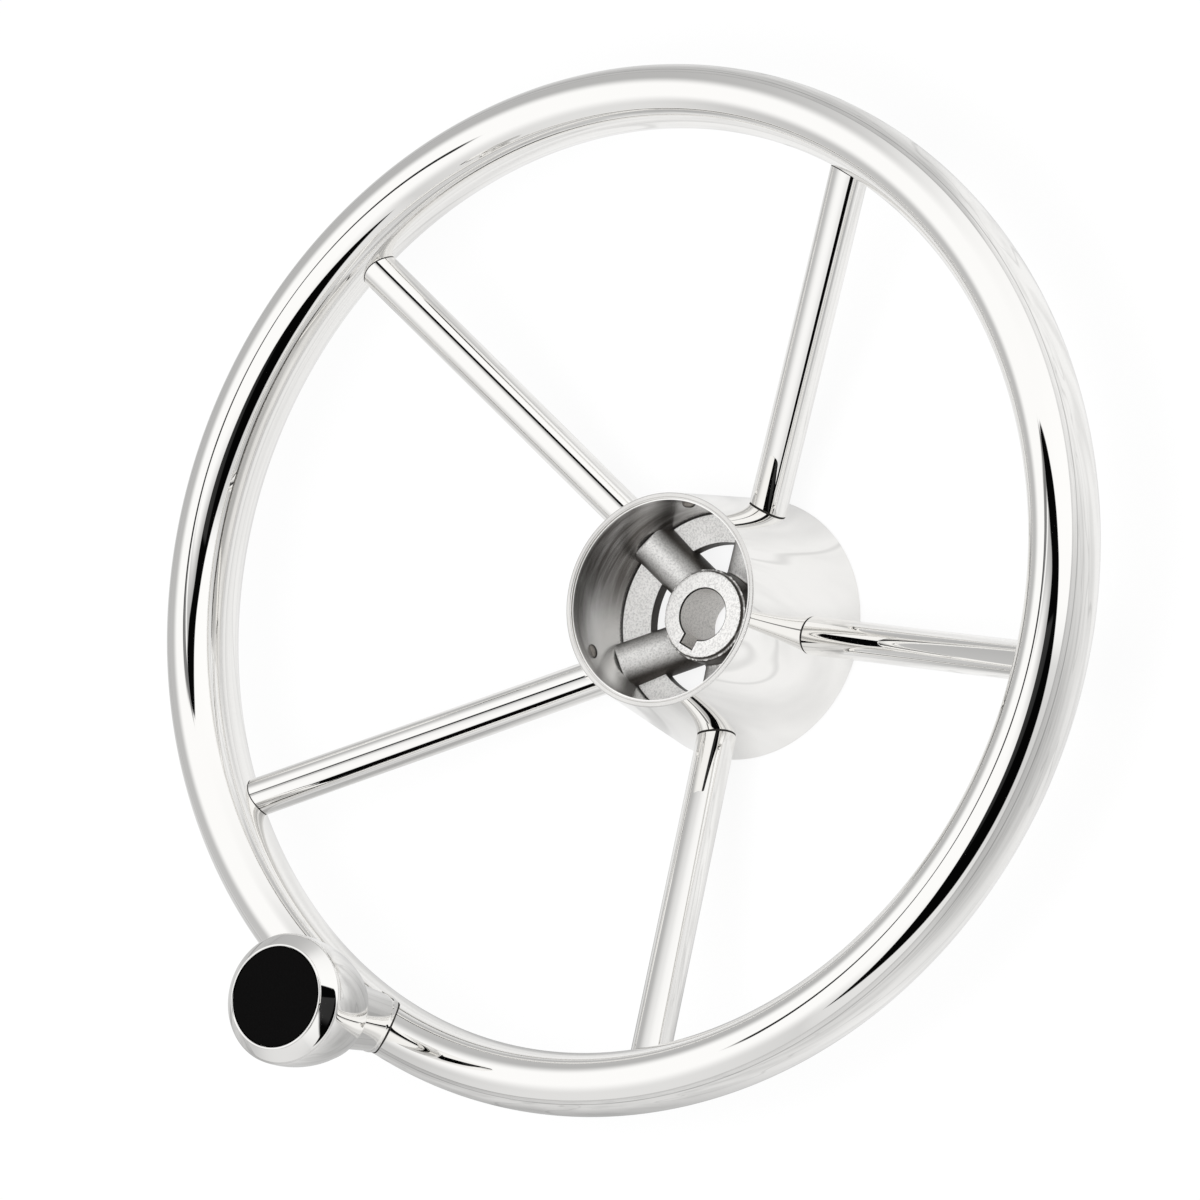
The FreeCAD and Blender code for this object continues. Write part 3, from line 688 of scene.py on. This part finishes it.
def make_knob_shell():
    """The barrel shell, turned from bar and mirror polished: a soft bevel and a thin lip round the cap."""
    belly = Vector((KNOB_BELLY_RADIUS, KNOB_BELLY_HEIGHT))
    crease = Vector((KNOB_CREASE_RADIUS, KNOB_FACE - KNOB_BEVEL_DEPTH))
    lip_foot = Vector((KNOB_LIP_RADIUS, KNOB_FACE - KNOB_LIP_STEP))
    rebate = CAP_RADIUS + CAP_CLEARANCE
    lip_width = KNOB_LIP_RADIUS - rebate
    lip_centre = KNOB_FACE - (lip_width / 2) ** 2 / KNOB_LIP_CROWN / 2 + KNOB_LIP_CROWN / 2
    round_height = KNOB_BACK + KNOB_BACK_ROUND
    floor = KNOB_BACK + KNOB_FLOOR
    outline = [Vector((BUSH_RADIUS, KNOB_BACK))]
    outline += arc_points(Vector((KNOB_BACK_RADIUS - KNOB_BACK_ROUND, KNOB_BACK)),
                          Vector((KNOB_BACK_RADIUS, round_height)), round_height, 8)
    outline += arc_points(Vector((KNOB_BACK_RADIUS, round_height)), belly, belly.y, 32)[1:]
    # the belly runs softly into the bevel, and the bevel bulges a little
    below = belly.lerp(crease, 0.7)
    outward = Vector((lip_foot.y - crease.y, crease.x - lip_foot.x)).normalized()
    bevel = bend(crease, (crease + lip_foot) / 2 + outward * 2 * KNOB_BEVEL_BULGE, lip_foot, 15)
    outline += arc_points(belly, below, belly.y, 4)[1:]
    outline += bend(below, crease, bevel[3], 6)[1:] + bevel[4:]
    outline += arc_points(Vector((KNOB_LIP_RADIUS, KNOB_FACE)), Vector((rebate, KNOB_FACE)), lip_centre, 8)
    outline += [(rebate, CAP_SEAT), (KNOB_HOLLOW_RADIUS, CAP_SEAT), (KNOB_HOLLOW_RADIUS, floor),
                (KNOB_BOSS_RADIUS, floor), (KNOB_BOSS_RADIUS, KNOB_BOSS_END), (BUSH_RADIUS, KNOB_BOSS_END)]
    return lathe("polished_knob", outline, KNOB_CENTRE, segments=256, materials=(POLISHED,))


def make_knob_cap():
    """The black moulded cap: flat face, softened edge and a skirt inside the shell."""
    skirt = KNOB_HOLLOW_RADIUS - CAP_CLEARANCE
    corners = [(0, CAP_SEAT, 0), (skirt - CAP_SKIRT_WALL, CAP_SEAT, 0),
               (skirt - CAP_SKIRT_WALL, CAP_SEAT - CAP_SKIRT, 0), (skirt, CAP_SEAT - CAP_SKIRT, 0),
               (skirt, CAP_SEAT, 0), (CAP_RADIUS, CAP_SEAT, 0), (CAP_RADIUS, KNOB_FACE, CAP_ROUND),
               (0, KNOB_FACE, 0)]
    return lathe("black_knob_cap", rounded(corners), KNOB_CENTRE, segments=192, materials=(BLACK_CAP,))


def make_post(rim):
    """The tapered post, polished, coped down over the crown of the rim."""
    foot = RIM_HEIGHT + RIM_HALF_DEPTH - POST_FOOT_DROP
    thread_end = POST_TOP - THREAD_DEPTH
    corners = [(0, foot, 0), (POST_FOOT_RADIUS, foot, 0), (POST_TOP_RADIUS, POST_TOP, POST_EDGE),
               (THREAD_RADIUS, POST_TOP, 0), (THREAD_RADIUS, thread_end, 0),
               (0, thread_end - THREAD_RADIUS / 2, 0)]
    made = lathe("tapered_post", rounded(corners), KNOB_CENTRE, segments=192, materials=(POLISHED,))
    cut(made, [rim]).data.set_sharp_from_angle(angle=CRISP_EDGE)
    return made


def make_post_collar(name, rim, width, proud, finish):
    """A thin collar round the post's foot that follows the rim's surface."""
    foot = RIM_HEIGHT + RIM_HALF_DEPTH - POST_FOOT_DROP
    corners = [(0, foot, 0), (POST_FOOT_RADIUS + proud, foot, 0), (POST_TOP_RADIUS + proud, POST_TOP, 0),
               (0, POST_TOP, 0)]
    collar = lathe(name, rounded(corners), KNOB_CENTRE, segments=192, materials=(finish,))
    reach = grow("collar_reach", rim_tree(), Half_width=RIM_HALF_WIDTH + width,
                 Half_depth=RIM_HALF_DEPTH + width)
    cut(collar, [reach], "INTERSECT")
    cut(collar, [rim]).data.set_sharp_from_angle(angle=CRISP_EDGE)
    bpy.data.objects.remove(reach)
    return collar


def attach(made, body, slot, *replaced):
    """Ride on a body and stand for CAD nodes. The finish slot is not used."""
    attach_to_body(made, body)
    if replaced:
        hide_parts(*replaced)


rim_piece = grow("rim_tube", rim_tree())
hub_shell = make_hub_shell()
sleeves = spoke_tree()
spoke_piece = grow("spoke_tubes", sleeves, Start_offset=CUP_JOINT_GAP, End_offset=-RIM_JOINT_GAP,
                   Cup=hub_shell, Rim=rim_piece)
# lines of painted shade at the tubes' ends: at the cup, and at the rim
cup_seams = grow("cup_joint_lines", sleeves, JOINT_SHADE, Outer_radius=SPOKE_RADIUS - JOINT_LINE_DEPTH,
                 Start_offset=-JOINT_LINE_SINK, End_at_rim=0.0, End_offset=CUP_JOINT_GAP,
                 Cup=hub_shell, Rim=rim_piece)
rim_seams = grow("rim_joint_lines", sleeves, JOINT_SHADE, Outer_radius=SPOKE_RADIUS - JOINT_LINE_DEPTH,
                 Start_at_rim=1.0, Start_offset=-RIM_JOINT_GAP, End_offset=JOINT_LINE_SINK,
                 Cup=hub_shell, Rim=rim_piece)
hub_web = make_hub_web()
hub_core = make_hub_core()
wall_slope = (LIP_RADIUS - LIP_WALL - WEB_WALL_RADIUS) / (LIP_HEIGHT - WEB_OUTER_HEIGHT)
lugs = grow("cap_lugs", lug_tree(),
            Ring_radius=WEB_WALL_RADIUS + wall_slope * (LUG_HEIGHT - WEB_OUTER_HEIGHT))
knob_shell = make_knob_shell()
knob_cap = make_knob_cap()
post = make_post(rim_piece)
# the dressed weld bead, and a line of painted shade in the corner between it and the rim
post_bead = make_post_collar("post_bead", rim_piece, POST_BEAD_WIDTH, POST_BEAD_PROUD, POLISHED)
post_seam = make_post_collar("post_joint_line", rim_piece, POST_LINE_WIDTH,
                             POST_BEAD_PROUD + POST_LINE_PROUD, JOINT_SHADE)

attach(rim_piece, "wheel", "polished_stainless", "rim")
attach(spoke_piece, "wheel", "polished_stainless", *[f"spoke_{n + 1}" for n in range(SPOKE_COUNT)])
attach(cup_seams, "wheel", "polished_stainless")
attach(rim_seams, "wheel", "polished_stainless")
for hub_piece in (hub_shell, hub_web, hub_core, lugs):
    attach(hub_piece, "wheel", "cast_stainless", "hub")
attach(post, "wheel", "polished_stainless", "knob_post")
attach(post_bead, "wheel", "polished_stainless", "knob_post")
attach(post_seam, "wheel", "polished_stainless")
attach(knob_shell, "knob", "polished_stainless", "knob_shell")
attach(knob_cap, "knob", "black_cap", "knob_cap")

for name, finish in (("knob_bolt", TURNED), ("head_washer", TURNED), ("rear_bush", ACETAL),
                     ("front_bush", ACETAL)):
    mesh = nodes[name].data
    mesh.materials.clear()
    mesh.materials.append(finish)

# The studio. A bearing is a turn about the shaft's axis in degrees, from +X towards +Y.

FLOOR_HALF_SIDE = 6.0
FLOOR_DROP = 0.1 * MM
# how much greyer a mirror sees the floor far out, by bearing, and the radii where that starts and is full
FLOOR_GREYS = [(0, 0.14), (20, 0.36), (45, 0.38), (115, 0.36), (138, 0.26), (160, 0.44), (182, 0.26),
               (240, 0.27), (262, 0.45), (300, 0.28), (322, 0.05), (345, 0.0), (360, 0.14)]
GREY_STARTS, GREY_IS_FULL = 0.12, 0.34
# the soft shade under the knob's side of the wheel: its middle, its radii and what it leaves
SHADE_MIDDLE = (-0.17, -0.03, 0)
SHADE_CORE, SHADE_REACH, SHADE_LEAVES = 0.03, 0.15, 0.55
# the rim of the white sheet and the table past it: inner and outer radius, softness and strength
FLOOR_RINGS = [(0.41, 0.45, 0.01, 0.35), (0.9, 1.1, 0.04, 0.12)]
CREASE_TURN = math.radians(35)
CREASE_LENGTH, CREASE_WIDTH = 90 * MM, 30 * MM
FLOOR_IN_MIRRORS = 0.88
# how much of the floor is drawn at its own white, so that shadows on it stay faint
WHITE_FOR_CAMERA, WHITE_FOR_MIRRORS = 0.88, 0.6

LIGHT_HELD_FROM_MATT = 0.2

TENT_RADIUS = 1.6
TENT_START = 218.0
# lines drawn round the tent as (bearing, elevation): the upper and lower edge of the dark slit
SLIT_ROOF = [(218, 16), (225, 23), (232, 28), (246, 36), (260, 41), (274, 44.5), (288, 48.5), (300, 50.5),
             (309, 52), (316, 56), (323, 61), (330, 65), (344, 69.5), (352, 71), (358, 69), (366, 60),
             (578, 60)]
SLIT_SILL = [(218, 24), (225, 19), (232, 15.5), (239, 12), (246, 9), (253, 6.5), (267, 6), (281, 9.5),
             (288, 13), (295, 18.5), (302, 25), (309, 31), (316, 37.5), (330, 47), (344, 56), (352, 61),
             (358, 66), (366, 76), (578, 76)]
SLIT_SOFTNESS = 0.9
SLIT_DARKNESS, FOLD_PALER = 0.998, 0.03
# and the upper and lower edge of the grey seam that goes on over the top
SEAM_ROOF = [(218, 20), (340, 20), (352, 69), (360, 74), (370, 79.5), (380, 81), (400, 84), (450, 86),
             (480, 86), (500, 83), (512, 78), (525, 74), (535, 62), (545, 40), (578, 40)]
SEAM_SILL = [(218, 40), (340, 72), (352, 67), (360, 66), (370, 70), (380, 73), (400, 75), (420, 76),
             (440, 78), (455, 79), (470, 79), (485, 78), (500, 75), (512, 68), (521, 63.5), (535, 62),
             (545, 64), (578, 64)]
SEAM_SOFTNESS = 1.2
# how much greyer the walls are low down, by bearing
WALL_GREYS = [(218, 0.33), (245, 0.2), (275, 0.34), (290, 0.28), (302, 0.0), (360, 0.04), (375, 0.16),
              (395, 0.42), (420, 0.52), (480, 0.48), (510, 0.42), (540, 0.24), (578, 0.33)]
WALL_BRIGHTNESS = 1.05

LAMP_SIZE = 0.6
LAMP_WATTS = 10.0
LAMP_BEARING, LAMP_RISE, LAMP_DISTANCE = math.radians(262), math.radians(70), 1.3

CAMERA_PLACE = (0.292615, -1.546517, 2.507662)
CAMERA_SIDEWAYS = math.radians(10.94456)    # how far it stands round from the -Y side
CAMERA_TILT = math.radians(33.05856)        # how far it leans from looking straight down
CAMERA_ROLL = math.radians(-71.28416)
CAMERA_FOCAL_LENGTH, CAMERA_SENSOR_WIDTH = 270.0, 36.0      # in millimetres, as Blender has them
CAMERA_SEES = 50.0


def curve(tree, place, points):
    """A smooth curve through (place, value) points, with values from 0 to 1."""
    first, last = points[0][0], points[-1][0]
    along = add(tree, "ShaderNodeMapRange", [place, first, last])
    made = add(tree, "ShaderNodeFloatCurve", {"Value": along})
    line = made.mapping.curves[0]
    placed = [((at - first) / (last - first), value) for at, value in points]
    line.points[0].location = placed[0]
    line.points[1].location = placed[-1]
    for spot in placed[1:-1]:
        line.points.new(*spot)
    made.mapping.update()
    return made


def bearing_of(tree, parts, start):
    """The bearing of a point whose parts are given, counted up from start."""
    angle = add(tree, "ShaderNodeMath", [parts.outputs["Y"], parts.outputs["X"]], operation="ARCTAN2")
    degrees = add(tree, "ShaderNodeMath", [angle], operation="DEGREES")
    past = add(tree, "ShaderNodeMath", [degrees, start], operation="SUBTRACT")
    turn = add(tree, "ShaderNodeMath", [past, 360.0], operation="FLOORED_MODULO")
    return add(tree, "ShaderNodeMath", [turn, start], operation="ADD")


def make_floor():
    """A plain white floor under the wheel. Mirrors see its far parts greyer, as a table beyond the light."""
    half = FLOOR_HALF_SIDE
    mesh = bpy.data.meshes.new("floor")
    mesh.from_pydata([(x, y, -FLOOR_DROP) for x, y in ((-half, -half), (half, -half), (half, half),
                                                       (-half, half))], [], [(0, 1, 2, 3)])
    floor = piece(mesh, "floor")
    made, tree, shader, place = material("white_floor")
    bearing = bearing_of(tree, add(tree, "ShaderNodeSeparateXYZ", [place]), 0.0)
    far = add(tree, "ShaderNodeVectorMath", [place], operation="LENGTH")
    far_out = fades(tree, (far, GREY_STARTS, GREY_IS_FULL, 0.0, 1.0))
    away = add(tree, "ShaderNodeVectorMath", [place, SHADE_MIDDLE], operation="DISTANCE")
    kept = [what_is_left(tree, product(tree, curve(tree, bearing, FLOOR_GREYS), far_out)),
            fades(tree, (away, SHADE_CORE, SHADE_REACH, SHADE_LEAVES, 1.0))]
    kept += [what_is_left(tree, between(tree, far, inner, outer, soft), strength)
             for inner, outer, soft, strength in FLOOR_RINGS]
    # soft creases in the sheet, and a few long folds across it
    stretched = add(tree, "ShaderNodeMapping", {"Vector": place, "Rotation": (0, 0, CREASE_TURN),
                                                "Scale": (1 / CREASE_LENGTH, 1 / CREASE_WIDTH, 1)})
    creases = add(tree, "ShaderNodeTexNoise", {"Vector": stretched, "Scale": 1.0, "Detail": 3.0})
    folds = add(tree, "ShaderNodeTexNoise", {"Vector": stretched, "Scale": 0.35, "Detail": 2.0})
    past_ridge = add(tree, "ShaderNodeMath", [folds, 0.5], operation="SUBTRACT")
    ridge = add(tree, "ShaderNodeMath", [past_ridge], operation="ABSOLUTE")
    kept.append(fades(tree, (creases, 0.3, 0.6, 0.86, 1.0), (ridge, 0.0, 0.012, 0.84, 1.0)))
    path = add(tree, "ShaderNodeLightPath")
    mirrored = product(tree, *kept, FLOOR_IN_MIRRORS)
    level = add(tree, "ShaderNodeMix", {"Factor": path.outputs["Is Glossy Ray"], "A": 1.0, "B": mirrored})
    tone = add(tree, "ShaderNodeVectorMath", {0: colour("#FBFBFB")[:3], "Scale": level}, operation="SCALE")
    feed(shader, {"Base Color": tone, "Roughness": 0.9, "Specular IOR Level": 0.1})
    # the camera and the mirrors see the floor as the white background, with a little shadow on it
    white = add(tree, "ShaderNodeEmission", {"Color": (1, 1, 1, 1), "Strength": level})
    by_mirrors = product(tree, path.outputs["Is Glossy Ray"], WHITE_FOR_MIRRORS)
    share = add(tree, "ShaderNodeMath", [path.outputs["Is Camera Ray"], WHITE_FOR_CAMERA, by_mirrors],
                operation="MULTIPLY_ADD")
    seen = add(tree, "ShaderNodeMixShader", [share, shader, white])
    feed(tree.nodes["Material Output"], {"Surface": seen})
    mesh.materials.append(made)


def make_world():
    """Plain white light from all round. Matt surfaces get a little less of it, and the lamp makes that up."""
    world = bpy.data.worlds.new("plain_white")
    bpy.context.scene.world = world
    world.use_nodes = True
    world.cycles.sampling_method = "NONE"
    tree = world.node_tree
    matt = add(tree, "ShaderNodeLightPath").outputs["Is Diffuse Ray"]
    feed(tree.nodes["Background"], {"Color": (1, 1, 1, 1),
                                    "Strength": what_is_left(tree, matt, LIGHT_HELD_FROM_MATT)})


def make_tent():
    """The light tent that only mirrors see: walls greyer low down, and the dark slit that curves over it."""
    middle = Vector((0, 0, RIM_HEIGHT))
    shape = bmesh.new()
    bmesh.ops.create_uvsphere(shape, u_segments=128, v_segments=64, radius=TENT_RADIUS,
                              matrix=Matrix.Translation(middle))
    mesh = bpy.data.meshes.new("light_tent")
    shape.to_mesh(mesh)
    shape.free()
    tent = piece(mesh, "light_tent")
    made, tree, shader, place = material("tent_cloth")
    made.cycles.emission_sampling = "NONE"
    tree.nodes.remove(shader)
    from_middle = add(tree, "ShaderNodeVectorMath", [place, middle], operation="SUBTRACT")
    direction = add(tree, "ShaderNodeVectorMath", [from_middle], operation="NORMALIZE")
    parts = add(tree, "ShaderNodeSeparateXYZ", [direction])
    tilt = add(tree, "ShaderNodeMath", [parts.outputs["Z"]], operation="ARCSINE")
    rise = add(tree, "ShaderNodeMath", [tilt], operation="DEGREES")
    bearing = bearing_of(tree, parts, TENT_START)

    def height(line):
        """The elevation in degrees of a line drawn round the tent."""
        return product(tree, curve(tree, bearing, [(at, up / 90) for at, up in line]), 90.0)

    roof = height(SLIT_ROOF)
    slit = between(tree, rise, height(SLIT_SILL), roof, SLIT_SOFTNESS)
    # a paler fold of cloth inside the slit
    fold = fades(tree, (rise, 31.0, 34.0, 0.0, 1.0), (bearing, 299.0, 301.0, 1.0, 0.0),
                 (bearing, 252.0, 268.0, 0.0, 1.0))
    darkness = add(tree, "ShaderNodeMath", [fold, -FOLD_PALER, SLIT_DARKNESS], operation="MULTIPLY_ADD")
    # the cloth's soft shade above the slit
    above = add(tree, "ShaderNodeMath", [rise, roof], operation="SUBTRACT")
    shade = fades(tree, (above, -1.0, 26.0, 0.55, 0.0), (bearing, 262.0, 310.0, 0.0, 1.0),
                  (bearing, 338.0, 356.0, 1.0, 0.0), (above, -1.5, -0.5, 0.0, 1.0))
    # the seam, which gets darker on its way over
    seam = between(tree, rise, height(SEAM_SILL), height(SEAM_ROOF), SEAM_SOFTNESS)
    seam_darkness = fades(tree, (bearing, 405.0, 425.0, 0.79, 0.98))
    # the walls, greyer low down
    low_down = fades(tree, (rise, 18.0, 50.0, 1.0, 0.0))
    walls = what_is_left(tree, product(tree, curve(tree, bearing, WALL_GREYS), low_down))
    glow = product(tree, walls, WALL_BRIGHTNESS, what_is_left(tree, product(tree, slit, darkness)),
                   what_is_left(tree, shade), what_is_left(tree, product(tree, seam, seam_darkness)))
    cloth = add(tree, "ShaderNodeEmission", {"Color": (1, 1, 1, 1), "Strength": glow})
    feed(tree.nodes["Material Output"], {"Surface": cloth})
    mesh.materials.append(made)
    for ray in ("camera", "diffuse", "transmission", "volume_scatter", "shadow"):
        setattr(tent, "visible_" + ray, False)


def make_lamp():
    """A soft box high over the near side. It lights the casting in the cup, and mirrors don't show it."""
    lamp = bpy.data.lights.new("soft_box", "AREA")
    lamp.shape = "DISK"
    lamp.size = LAMP_SIZE
    lamp.energy = LAMP_WATTS
    box = bpy.data.objects.new("soft_box", lamp)
    box.visible_camera = False
    box.visible_glossy = False
    bpy.context.scene.collection.objects.link(box)
    place = LAMP_DISTANCE * Vector((math.cos(LAMP_RISE) * math.cos(LAMP_BEARING),
                                    math.cos(LAMP_RISE) * math.sin(LAMP_BEARING), math.sin(LAMP_RISE)))
    box.matrix_world = Matrix.Translation(place) @ place.to_track_quat("Z", "Y").to_matrix().to_4x4()


def make_camera():
    """The photograph's view: 270 mm lens, 57 degrees above the rim's plane."""
    lens = bpy.data.cameras.new("camera")
    lens.sensor_width = CAMERA_SENSOR_WIDTH
    lens.lens = CAMERA_FOCAL_LENGTH
    lens.clip_end = CAMERA_SEES
    camera = bpy.data.objects.new("camera", lens)
    bpy.context.scene.collection.objects.link(camera)
    turn = (Matrix.Rotation(CAMERA_SIDEWAYS, 4, "Z") @ Matrix.Rotation(CAMERA_TILT, 4, "X")
            @ Matrix.Rotation(CAMERA_ROLL, 4, "Z"))
    camera.matrix_world = Matrix.Translation(CAMERA_PLACE) @ turn
    bpy.context.scene.camera = camera


make_floor()
make_world()
make_tent()
make_lamp()
make_camera()
